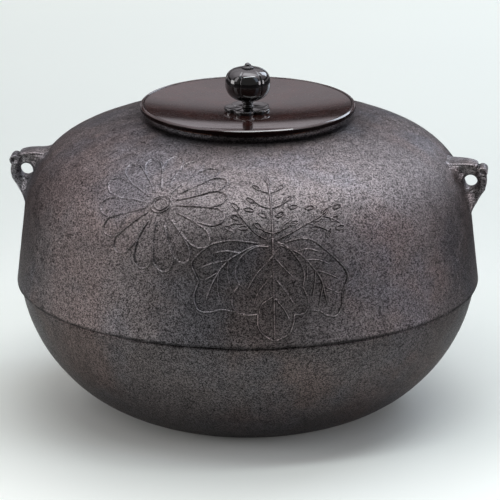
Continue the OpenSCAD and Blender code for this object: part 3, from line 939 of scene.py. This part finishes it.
def make_paulownia():
    """Three leaves with veins, and a stem whose stalks bear buds."""
    relief = Relief(LEAF_TURN, LEAF_Z, 34)
    for points in LEAF_LINES:
        relief.ridge(points)
    for points in LEAF_VEINS:
        relief.ridge(points, half_w=VEIN_HALF_W, rise=VEIN_H)
    relief.ridge(STEM)
    stalks = []
    for up, out, climb in STEM_STALKS:
        for reach in (-out, out):
            bend = (STEM_X + reach * STALK_BEND[0], up + climb * STALK_BEND[1])
            stalks.append([(STEM_X, up), bend, (STEM_X + reach, up + climb)])
    for points in stalks + SIDE_STALKS:
        relief.ridge(points, half_w=STALK_HALF_W, rise=VEIN_H)
    for across, up, lean in BUDS:
        c, s = direction(lean)
        relief.ridge([(across + c * a - s * b, up + s * a + c * b) for a, b in BUD],
                     half_w=BUD_HALF_W, rise=VEIN_H)
    relief.finish("paulownia_relief")


# Lugs

LUG_STEP = 0.4
LUG_LOW = np.array([108.0, -17.0, FOOT_Z - 6])
LUG_HIGH = np.array([NOSE_X + NOSE_R + 2, 17.0, BROW_Z + 3])
LUG_ROOT_X = EYE_X - 22.2
TAIL_ANGLE = -28.0
EYE_EDGE_R = 3.2
EYE_PLAY = 0.05
STRAP_EDGE_R = 1.4
STRAP_FILLET = 1.5
BROW_DROOP = 1.3
BROW_BEND = 6.0
BROW_CORNER_R = 3.0
BROW_EDGE_R = 0.7
RIB_INSET = 1.2
RIB_DROP = 2.3
RIB_HALF_T = 0.75
RIB_EDGE_R = 0.5
NOSE_EDGE_R = 1.1
NOSTRIL_R = 1.9
NOSTRIL_OUT = 0.7
NOSTRIL_EDGE_R = 0.5
SOCKET = (EYE_X + 7.2, 3.4, NOSE_Z + 1.6)
SOCKET_R = 1.3
# Root on the body: how deep it is sunk, and the fillet and reach of its edge and of its flanks
ROOT_SINK = 0.3
ROOT_DEPTH = 2.2
ROOT_FILLET, ROOT_REACH = 2.6, 4.0
FLANK_FILLET, FLANK_REACH, FLANK_INSET = 9.0, 10.0, 0.5
ROOT_BLEND = 0.8
LUG_WAVES = [(0.10, 3.2, 0), (0.06, 1.5, 70)]
# Reach over which the lugs' hollows get painted shade
LUG_SHADE_REACH = 1.5


def polygon_distance(x, z, corners):
    """Signed distance to a flat polygon, less than zero inside."""
    nearest, inside = np.full(x.shape, np.inf), np.zeros(x.shape, bool)
    for (ax, az), (bx, bz) in zip(corners, corners[1:] + corners[:1]):
        ex, ez = bx - ax, bz - az
        t = np.clip(((x - ax) * ex + (z - az) * ez) / (ex * ex + ez * ez), 0, 1)
        nearest = np.minimum(nearest, np.hypot(x - ax - t * ex, z - az - t * ez))
        if az != bz:
            inside ^= ((az > z) != (bz > z)) & (x < ax + ex * (z - az) / ez)
    return np.where(inside, -nearest, nearest)


def slab(flat, across, half, edge_r):
    """Distance to a flat shape that is made half thick each way, with rounded edges."""
    a, b = flat + edge_r, np.abs(across) - half + edge_r
    return np.minimum(np.maximum(a, b), 0) + np.hypot(np.maximum(a, 0), np.maximum(b, 0)) - edge_r


def body_distance(x, y, z):
    """Distance to the body's outside near a lug."""
    r = np.hypot(x, y)
    rise = np.degrees(np.arctan2(z - SHOULDER_C[1], r - SHOULDER_C[0]))
    wall = (r - wall_x(z)) * math.cos(math.radians(WALL_LEAN))
    shoulder = np.hypot(r - SHOULDER_C[0], z - SHOULDER_C[1]) - SHOULDER_R
    return np.where(rise < WALL_LEAN, wall, shoulder)


def ball(x, y, z, middle, radius):
    """Distance to a ball and its mirror image on the other side of the lug."""
    return np.sqrt((x - middle[0]) ** 2 + (np.abs(y) - middle[1]) ** 2 + (z - middle[2]) ** 2) - radius


def lug_distance(x, y, z, noise):
    """Distance to a beast-mask lug: a strap round its eye, a brow, a nose and a root on the body."""
    eye = np.hypot(x - EYE_X, z - EYE_Z)
    tail_start = np.array([EYE_X, EYE_Z]) + STRAP_R * direction(TAIL_ANGLE)
    web = polygon_distance(x, z, [
        tuple(tail_start), (wall_x(FOOT_Z), FOOT_Z), (LUG_ROOT_X, FOOT_Z),
        (LUG_ROOT_X, BROW_Z - BROW_HALF_T), (EYE_X, BROW_Z - BROW_HALF_T), (EYE_X, EYE_Z)])
    side = smooth_min(eye - STRAP_R, web, STRAP_FILLET)
    blank = slab(side, y, STRAP_HALF, STRAP_EDGE_R)

    droop = BROW_DROOP * np.clip((x - EYE_X + BROW_BEND) / (BROW_REACH + BROW_BEND), 0, 2) ** 2
    sweep = np.clip((x - LUG_ROOT_X) / (EYE_X + BROW_REACH - LUG_ROOT_X), 0, 1)
    width = BROW_ROOT_W + (BROW_TIP_W - BROW_ROOT_W) * sweep
    plan = smooth_max(np.abs(y) - width, x - EYE_X - BROW_REACH, BROW_CORNER_R)
    crest = BROW_Z - BROW_HALF_T - droop
    brow = slab(plan, z - crest, BROW_HALF_T, BROW_EDGE_R)
    rib = slab(plan + RIB_INSET, z - crest + RIB_DROP, RIB_HALF_T, RIB_EDGE_R)

    nose = slab(np.hypot(x - NOSE_X, z - NOSE_Z) - NOSE_R, y, NOSE_HALF, NOSE_EDGE_R)
    nostril = ball(x, y, z, (NOSE_X, NOSE_HALF + NOSTRIL_OUT, NOSE_Z), NOSTRIL_R)
    socket = ball(x, y, z, SOCKET, SOCKET_R)

    shape = blank
    for part, fillet in ((brow, 1.2), (rib, 0.9), (nose, 0.9), (socket, 0.4)):
        shape = smooth_min(shape, part, fillet)
    shape = smooth_max(shape, -nostril, NOSTRIL_EDGE_R)
    skin = body_distance(x, y, z)
    sunk = skin + ROOT_SINK
    edge = np.maximum(smooth_min(shape, sunk, ROOT_FILLET), shape - ROOT_REACH)
    flank = np.maximum(smooth_min(shape, sunk, FLANK_FILLET), shape - FLANK_REACH)
    flank = np.maximum(flank, side + FLANK_INSET)
    rooted = np.maximum(smooth_min(edge, flank, ROOT_BLEND), -(skin + ROOT_DEPTH))
    rooted = rooted + waves(noise, np.stack([x, y, z], axis=-1), LUG_WAVES)
    return smooth_max(rooted, EYE_R + EYE_PLAY - eye, EYE_EDGE_R)


def hollows(distance, verts, reach):
    """Share from 0 to 1 that says how closed in each point of a surface is within a reach."""
    nudge = 0.2 * np.eye(3)
    slope = np.column_stack([distance(*(verts + n).T) - distance(*(verts - n).T) for n in nudge])
    normal = slope / np.linalg.norm(slope, axis=1)[:, None]
    return np.clip(1.1 - distance(*(verts + reach * normal).T) / reach, 0, 1)


def make_lug(name, node, angle, seed):
    noise = Noise(seed)

    def distance(x, y, z):
        return lug_distance(x, y, z, noise)

    axes = [np.arange(a, b, LUG_STEP) for a, b in zip(LUG_LOW, LUG_HIGH)]
    verts, faces = surface_nets(distance(*np.meshgrid(*axes, indexing="ij")), LUG_LOW, LUG_STEP)
    # The lugs' colour is darkened in their hollows as painted shade
    dirt = hollows(distance, verts, LUG_SHADE_REACH)
    c, s = math.cos(angle), math.sin(angle)
    verts = verts @ np.array([[c, s, 0], [-s, c, 0], [0, 0, 1]])
    make_piece(name, verts, faces, "kettle", "lug_iron", [node], marks={"dirt_and_painted_shade": dirt})


# Lid and knob

LID_SEGMENTS = 360
KNOB_SEGMENTS = 360
SPOOL_SEGMENTS = 96
BEAD_SEGMENTS = 48


def make_lid():
    """A dished plate with a bevelled bead along its edge and a fine line inside that."""
    bead_r, foot_r, line_r = 0.7, 0.6, 0.3
    bevel_turn, bevel_w = 46.5, 0.7
    dark_rim_turn = 25
    bevel = bevel_w * direction(bevel_turn + 90)
    bead_c = np.array([LID_R - bead_r, LID_Z - bead_r]) + [0, -bevel[1]]
    bead_foot_x = bead_c[0] + bevel[0] - bead_r
    bead_foot_z = DISH_C_Z - math.sqrt(DISH_R ** 2 - (bead_foot_x - 2 * line_r) ** 2)
    foot_c = np.array([LID_R - foot_r, MOUTH_Z + foot_r])
    dish_c = np.array([0.0, DISH_C_Z])
    under_r = DISH_R + LID_T
    flat_under_x = math.sqrt(under_r ** 2 - (DISH_C_Z - LID_UNDER_Z) ** 2)
    under_start = bearing(flat_under_x, LID_UNDER_Z - DISH_C_Z)
    under_x = min(LID_RING_IN_R, math.sqrt(under_r ** 2 - (DISH_C_Z - MOUTH_Z) ** 2))
    under_end = bearing(under_x, -math.sqrt(under_r ** 2 - under_x ** 2))
    rim_turn = bearing(bead_foot_x - 2 * line_r, bead_foot_z - DISH_C_Z)
    flat_turn = bearing(SEAT_R, DISH_Z - DISH_C_Z)
    outline = joined(
        line([PIN_HOLE_R, LID_UNDER_Z], [flat_under_x, LID_UNDER_Z], 4),
        arc(dish_c, under_r, under_start, under_end, 3),
        line([LID_RING_IN_R, MOUTH_Z], [foot_c[0], MOUTH_Z], 3),
        arc(foot_c, foot_r, -90, 0, 0.2),
        arc(bead_c, bead_r, 0, bevel_turn, 0.12),
        arc(bead_c + bevel, bead_r, bevel_turn, 170, 0.12),
        arc([bead_foot_x - line_r, bead_foot_z - 0.1], line_r, -10, -170, 0.12),
        arc(dish_c, DISH_R, rim_turn, flat_turn, 1.5),
        line([SEAT_R, DISH_Z], [PIN_HOLE_R, DISH_Z], 3),
        line([PIN_HOLE_R, DISH_Z], [PIN_HOLE_R, LID_UNDER_Z], 2)[:-1],
    )
    r, z = outline.T
    # Painted shade on the lid's outer side below the bead and in the fine line inside it
    side = (r > bead_c[0]) & (z < bead_c[1] + bead_r * direction(dark_rim_turn)[1])
    groove = np.abs(r - bead_foot_x + line_r) < 0.9 * line_r
    painted_dark_rim = np.repeat((side | groove) & (z > MOUTH_Z - 0.1), LID_SEGMENTS)
    make_piece("lid_dish", *ring_mesh(turn(outline, LID_SEGMENTS)), "lid", "lid_bronze", ["lid_plate"],
               sharp=40, marks={"dirt_and_painted_shade": painted_dark_rim.astype(float)})


def from_middle(angle, count, turned):
    """Angle from the middle of the nearest of count equal sectors, in radians."""
    sector = 2 * math.pi / count
    return (angle - math.radians(turned) + sector / 2) % sector - sector / 2


# The seat from its edge to its middle: share of its reach, and height
SEAT_ROWS = [
    (0.97, 0.0), (0.99, 0.7), (1.0, 1.6), (0.995, 2.2), (0.975, 2.35), (0.94, 2.25), (0.89, 1.95),
    (0.82, 1.72), (0.70, 1.6), (0.56, 1.6), (0.42, 1.7), (0.30, 1.9), (0.26, 2.0), (0.115, 2.0),
]
SEAT_NOTCH, SEAT_NOTCH_W = 0.07, 0.07
SEAT_CREASE, SEAT_CREASE_W = 0.55, 0.06
SEAT_CREASE_START, SEAT_CREASE_FADE = 0.3, 0.2
SEAT_CREASE_FOOT_H = 0.6


def make_seat():
    """A plate of five petals with a raised rim and a crease between neighbours."""
    angle = around(KNOB_SEGMENTS)
    off = from_middle(angle, SEAT_PETALS, SEAT_TURN)
    off_edge = np.pi / SEAT_PETALS - np.abs(off)
    middle = SEAT_R - PETAL_R
    reach = middle * np.cos(off) + np.sqrt(PETAL_R ** 2 - (middle * np.sin(off)) ** 2)
    reach *= 1 - SEAT_NOTCH * np.exp(-(off_edge / SEAT_NOTCH_W) ** 2)
    crease = np.exp(-(off_edge / SEAT_CREASE_W) ** 2)
    foot = np.full(KNOB_SEGMENTS, DISH_Z)
    rows = [(np.full(KNOB_SEGMENTS, PIN_HOLE_R), foot)]
    for share, height in SEAT_ROWS:
        deep = SEAT_CREASE * np.clip((share - SEAT_CREASE_START) / SEAT_CREASE_FADE, 0, 1)
        dip = crease * deep * (height > SEAT_CREASE_FOOT_H)
        rows.append((reach * share, DISH_Z + height - dip))
    points = [np.column_stack([r * np.cos(angle), r * np.sin(angle), z]) for r, z in rows]
    make_piece("knob_flower_seat", *ring_mesh(np.array(points)), "lid", "knob_bronze", ["knob_seat"],
               sharp=60)


def make_knob_neck():
    """A waisted spool between two rounded collars."""
    collar_r, hollow_r = 0.55, 0.45
    waist_z = KNOB_NECK_Z + 2 * collar_r + hollow_r
    top = KNOB_NECK_Z + KNOB_NECK_H - KNOB_SAG
    waist = KNOB_NECK_WAIST_R
    outline = joined(
        [[PIN_HOLE_R, KNOB_NECK_Z]],
        arc([KNOB_NECK_FOOT_R - collar_r, KNOB_NECK_Z + collar_r], collar_r, -90, 90, 0.15),
        arc([waist + hollow_r, waist_z], hollow_r, 270, 180, 0.15),
        line([waist, waist_z + 0.05], [waist + 0.05, top - 1.7], 0.3),
        arc([KNOB_CORE_R - collar_r, top - collar_r], collar_r, -75, 90, 0.15),
        [[PIN_HOLE_R, top]],
    )
    make_piece("knob_spool", *ring_mesh(turn(outline, SPOOL_SEGMENTS)), "knob", "knob_bronze",
               ["knob_neck"], sharp=45)


def make_knob_body():
    """A squared round fruit with six lobes that thin grooves part."""
    wide, high = LOBE_OFF + LOBE_R, (KNOB_H + KNOB_SAG) / 2
    foot_z = KNOB_Z - KNOB_SAG
    angle = around(KNOB_SEGMENTS)
    off = from_middle(angle, KNOB_LOBES, LOBE_TURN - 90)
    half = np.pi / KNOB_LOBES
    rows = []
    for rise in np.radians(np.linspace(-90, 90, 91)):
        square = KNOB_TOP_SQUARE if rise > 0 else KNOB_FOOT_SQUARE
        r = wide * abs(math.cos(rise)) ** (2 / square)
        z = math.copysign(high * abs(math.sin(rise)) ** (2 / square), rise)
        groove = GROOVE_DEPTH * np.exp(-((half - np.abs(off)) * r / GROOVE_HALF_W) ** 2)
        reach = np.maximum(r * (1 - LOBE_SWELL * (off / half) ** 2) - groove, KNOB_CORE_R)
        rows.append(np.column_stack([reach * np.cos(angle), reach * np.sin(angle),
                                     np.full(KNOB_SEGMENTS, foot_z + high + z)]))
    hole = turn(np.array([[PIN_HOLE_R, foot_z], [PIN_HOLE_R, foot_z + 2 * high]]), KNOB_SEGMENTS)
    make_piece("knob_fruit", *ring_mesh(np.array([hole[0], *rows, hole[1]])), "knob", "knob_bronze",
               ["knob_body"], sharp=60)


def make_crown():
    """A scalloped collar under a low cone, and the bead on the knob's tip."""
    edge_r, hollow_r = 0.4, 0.2
    scallop, scallop_w = 0.08, 0.09
    cone_z = CROWN_Z + COLLAR_H
    top = cone_z + CROWN_H
    outline = joined(
        [[PIN_HOLE_R, CROWN_Z]],
        arc([KNOB_CORE_R - edge_r, CROWN_Z + edge_r], edge_r, -90, 90, 0.12),
        arc([CROWN_R + 0.15, cone_z + hollow_r], hollow_r, 270, 180, 0.1),
        line([CROWN_R - 0.1, cone_z + 0.25], [CROWN_TOP_R + 0.15, top - 0.15], 0.2),
        [[CROWN_TOP_R, top]],
        [[PIN_HOLE_R, top]],
    )
    off = from_middle(around(KNOB_SEGMENTS), 2 * KNOB_LOBES, LOBE_TURN - 90)
    notch = scallop * np.exp(-((np.pi / (2 * KNOB_LOBES) - np.abs(off)) / scallop_w) ** 2)
    on_collar = (outline[:, 1] < cone_z - 0.05) & (outline[:, 0] >= CROWN_R)
    points = turn(outline, KNOB_SEGMENTS)
    points[..., :2] *= (1 - on_collar[:, None] * notch)[..., None]
    make_piece("knob_collar", *ring_mesh(points), "knob", "knob_bronze", ["knob_crown"], sharp=45)
    rise = np.radians(np.linspace(-12, 88, 18))
    bead = np.column_stack([BEAD_R * np.cos(rise), top + BEAD_RISE + BEAD_HALF_H * np.sin(rise)])
    make_piece("knob_bead", *capped_mesh(turn(bead, BEAD_SEGMENTS)), "knob", "knob_bronze")


def dress_nodes():
    """Gives each solid the finish of its slot; those that a piece stands for aren't shown."""
    for part in frame["record"]["subparts"]:
        materials = frame["nodes"][part["node"]].data.materials
        materials.clear()
        materials.append(FINISHES[part["material_slot"]])


# Floor, light and camera

# Glow of the paper in the camera's view, in front and behind, and where it fades out towards the kettle;
# its rise to the front is painted light, and its fade round the kettle is a painted shadow that deepens
# the real one
GLOW_FRONT, GLOW_BACK = 0.68, 0.06
GLOW_REACH = (-0.5, 0.5)
PAINTED_SHADOW_FADE = (0.03, 0.30)
# Distances from a middle over which the pale paper fades out, as shiny surfaces see it
PAPER_MIDDLE = (-0.05, 0.035, 0.0)
PAPER_EDGE = (0.44, 0.19)
PAPER = srgb(238, 241, 237), srgb(241, 244, 239)
PAPER_GLOW = (0.98, 1.0, 0.98, 1.0)
# The floor as it sends light on to the kettle, and as shiny surfaces see it far off
DIM_FLOOR = srgb(150, 152, 152), srgb(68, 67, 68)
FLOOR_REACH = 5.0
WORLD_LIGHT = 0.06
WORLD_TINT = (1.0, 0.95, 0.97)
# Lights: place in metres, width and height, power in watts, colour
LIGHTS = {
    "overhead_softbox": ((0.15, 0.35, 1.65), (1.3, 0.8), 4.5, (0.95, 0.98, 1.0)),
    "front_strip": ((0.15, -0.36, 1.70), (1.5, 0.22), 7.5, (0.92, 0.99, 1.0)),
    "back_right_key": ((0.85, 1.15, 1.05), (0.8, 0.8), 8.2, (0.78, 0.88, 1.0)),
    "back_low_panel": ((-0.20, 1.60, 0.95), (1.6, 0.6), 9.5, (0.97, 0.98, 0.97)),
    "left_softbox": ((-1.17, -0.76, 1.10), (0.5, 1.3), 3.3, (1.0, 0.97, 0.99)),
    "right_softbox": ((1.15, -0.62, 1.05), (0.5, 1.2), 1.6, (0.65, 0.8, 1.0)),
    "left_low_panel": ((-1.40, -0.35, 0.30), (0.6, 0.5), 3.6, (1.0, 0.97, 0.98)),
    "right_low_panel": ((1.40, -0.25, 0.30), (0.5, 0.5), 3.0, (1.0, 0.95, 1.0)),
}
# Lights that polished metal doesn't show
UNREFLECTED = ("back_low_panel",)
# What shiny surfaces see behind the kettle: sine of the elevation, and brightness
BACKDROP = [
    (0.0, 0.42), (0.085, 0.4), (0.135, 0.01), (0.21, 0.0), (0.255, 0.14), (0.295, 0.35),
    (0.335, 0.46), (0.43, 0.58), (0.6, 0.7), (0.7, 1.05), (0.9, 1.45), (0.97, 2.2),
]
BACKDROP_TINT = (1.0, 0.94, 1.0)
BACKDROP_EDGE = (-0.2, -0.1)
# What they see in front of it
DIM_ROOM = 0.15


def make_floor():
    """Pale paper that the camera and shiny surfaces see brighter than it lights the kettle, with painted
    light in front and a painted shadow round the kettle.
    """
    mesh = bpy.data.meshes.new("floor")
    corners = [(x * FLOOR_REACH, y * FLOOR_REACH, 0) for x, y in ((-1, -1), (1, -1), (1, 1), (-1, 1))]
    mesh.from_pydata(corners, [], [(0, 1, 2, 3)])
    floor = bpy.data.objects.new("floor", mesh)
    bpy.context.collection.objects.link(floor)
    shader = Shader("floor_paper", Roughness=0.9, Specular_IOR_Level=0.1, Emission_Color=PAPER_GLOW)
    path = shader.node("LightPath").outputs
    far = shader.node("VectorMath", {0: shader.place}, operation="LENGTH")
    off_middle = shader.node("VectorMath", {0: shader.place, 1: PAPER_MIDDLE}, operation="DISTANCE")
    split = shader.node("SeparateXYZ", {"Vector": shader.place})
    near = shader.level(off_middle.outputs["Value"], *PAPER_EDGE)
    glossy = shader.math("MULTIPLY", path["Is Glossy Ray"], near)
    seen = shader.math("MAXIMUM", path["Is Camera Ray"], glossy)
    seen = shader.math("MAXIMUM", seen, path["Is Transmission Ray"])
    paper = shader.mix(shader.level(shader.noise(400, detail=1), 0.2, 0.8), *PAPER)
    colour = shader.mix(seen, shader.mix(path["Is Glossy Ray"], *DIM_FLOOR), paper)
    # Painted light brighter in front, and painted shadow where the glow fades round the kettle
    glow = shader.level(split.outputs["Y"], *GLOW_REACH, GLOW_FRONT, GLOW_BACK)
    glow = shader.math("MULTIPLY", glow, shader.level(far.outputs["Value"], *PAINTED_SHADOW_FADE))
    glow = shader.math("MULTIPLY", seen, glow)
    mesh.materials.append(shader.feed(Base_Color=colour, Emission_Strength=glow))


def area_light(name, place, size, power, colour):
    """A flat soft light that faces the kettle."""
    lamp = bpy.data.lights.new(name, "AREA")
    lamp.shape = "RECTANGLE"
    lamp.size, lamp.size_y = size
    lamp.energy = power
    lamp.color = colour
    light = bpy.data.objects.new(name, lamp)
    bpy.context.collection.objects.link(light)
    light.location = place
    light.visible_glossy = name not in UNREFLECTED
    light.rotation_euler = (VIEW_TARGET - Vector(place)).to_track_quat("-Z", "Y").to_euler()


def tinted(level, tint):
    return (*(level * share for share in tint), 1.0)


def make_world():
    """Even light, in which shiny surfaces see a backdrop behind the kettle and a dim room in front."""
    world = bpy.data.worlds.new("studio")
    bpy.context.scene.world = world
    sky = Nodes(world)
    split = sky.node("SeparateXYZ", {"Vector": sky.coordinates["Generated"]}).outputs
    ramp = sky.node("ValToRGB", {"Fac": split["Z"]})
    elements = ramp.color_ramp.elements
    while len(elements) < len(BACKDROP):
        elements.new(1.0)
    for element, (position, level) in zip(elements, BACKDROP):
        element.position = position
        element.color = tinted(level, BACKDROP_TINT)
    low, high = BACKDROP_EDGE
    behind = sky.node("MapRange", {"Value": split["Y"], "From Min": low, "From Max": high})
    shiny = sky.mix(behind.outputs["Result"], tinted(DIM_ROOM, (1, 1, 1)), ramp.outputs["Color"])
    glossy = sky.node("LightPath").outputs["Is Glossy Ray"]
    seen = sky.mix(glossy, tinted(WORLD_LIGHT, WORLD_TINT), shiny)
    sky.links.new(seen, sky.nodes["Background"].inputs["Color"])


def make_camera():
    turned, rise = math.radians(VIEW_TURN), math.radians(VIEW_RISE)
    level = Vector((math.sin(turned), -math.cos(turned), 0))
    back = level * math.cos(rise) + Vector((0, 0, math.sin(rise)))
    right = Vector((math.cos(turned), math.sin(turned), 0))
    up = back.cross(right)
    lens = bpy.data.cameras.new("camera")
    lens.sensor_width = VIEW_SENSOR
    lens.lens = VIEW_LENS
    lens.clip_end = VIEW_CLIP_END
    camera = bpy.data.objects.new("camera", lens)
    bpy.context.collection.objects.link(camera)
    camera.location = VIEW_TARGET + back * VIEW_DISTANCE
    aim = VIEW_TARGET + right * VIEW_AIM_RIGHT + up * VIEW_AIM_UP
    camera.rotation_euler = (aim - camera.location).to_track_quat("-Z", "Y").to_euler()
    bpy.context.scene.camera = camera


make_body()
make_bowl()
make_chrysanthemum()
make_paulownia()
make_lug("lug_right_cast", "lug_right", 0.0, 41)
make_lug("lug_left_cast", "lug_left", math.pi, 57)
make_lid()
make_seat()
make_knob_neck()
make_knob_body()
make_crown()
dress_nodes()
make_floor()
make_world()
for light_name, settings in LIGHTS.items():
    area_light(light_name, *settings)
make_camera()
bpy.context.scene.view_settings.view_transform = "Standard"

bpy.context.view_layer.update()
